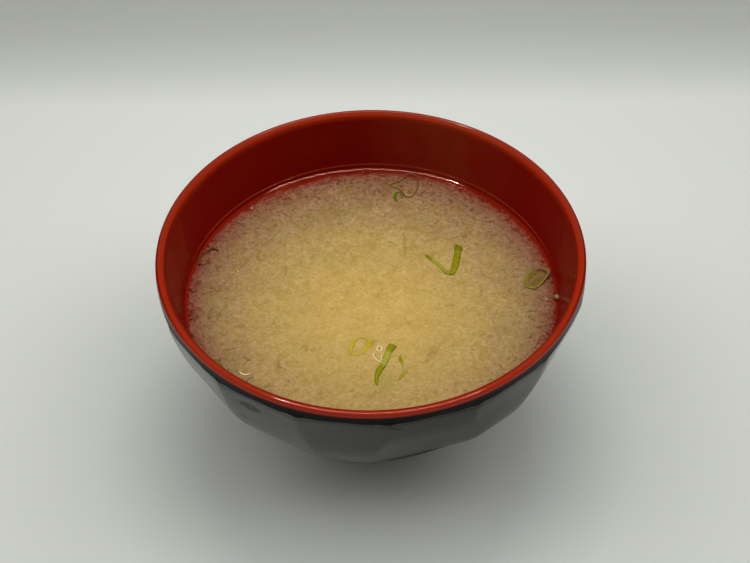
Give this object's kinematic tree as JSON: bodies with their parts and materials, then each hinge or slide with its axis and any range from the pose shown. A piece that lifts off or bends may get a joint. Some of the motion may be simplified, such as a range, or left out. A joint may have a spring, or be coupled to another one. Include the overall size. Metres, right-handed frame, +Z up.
{
  "type": "bowl of miso soup",
  "caption": "Round soup bowl with a faceted black outside and a red lacquered inside, holding cloudy miso soup with floating slices of scallion.",
  "frame": {"origin": "centre of the foot ring's underside, where the bowl stands on the table", "axes": "+Z up along the bowl's axis; the front of the bowl, nearest the viewer, is towards -Y"},
  "size_m": [0.1158, 0.1158, 0.064],
  "materials": {
    "lacquer": "glossy red lacquer inside and over the lip, satin black outside",
    "broth": "wet and cloudy, with clear broth along the wall",
    "pale_leaf": "wet cut scallion, pale green",
    "olive_leaf": "wet cut scallion, olive",
    "dark_leaf": "wet cut scallion, green",
    "cream_leaf": "wet cut scallion, nearly white"
  },
  "bodies": {
    "root": {"bowl": "lacquer", "soup": "broth", "scallion_ring_front": "pale_leaf", "scallion_ring_back": "olive_leaf", "scallion_ring_right": "pale_leaf", "scallion_strip_right": "dark_leaf", "scallion_strip_front": "dark_leaf", "scallion_arc_front": "dark_leaf", "scallion_curl_back": "dark_leaf", "scallion_hook_left": "olive_leaf", "scallion_bit_left": "olive_leaf", "scallion_bit_right": "cream_leaf"}
  },
  "joints": []
}
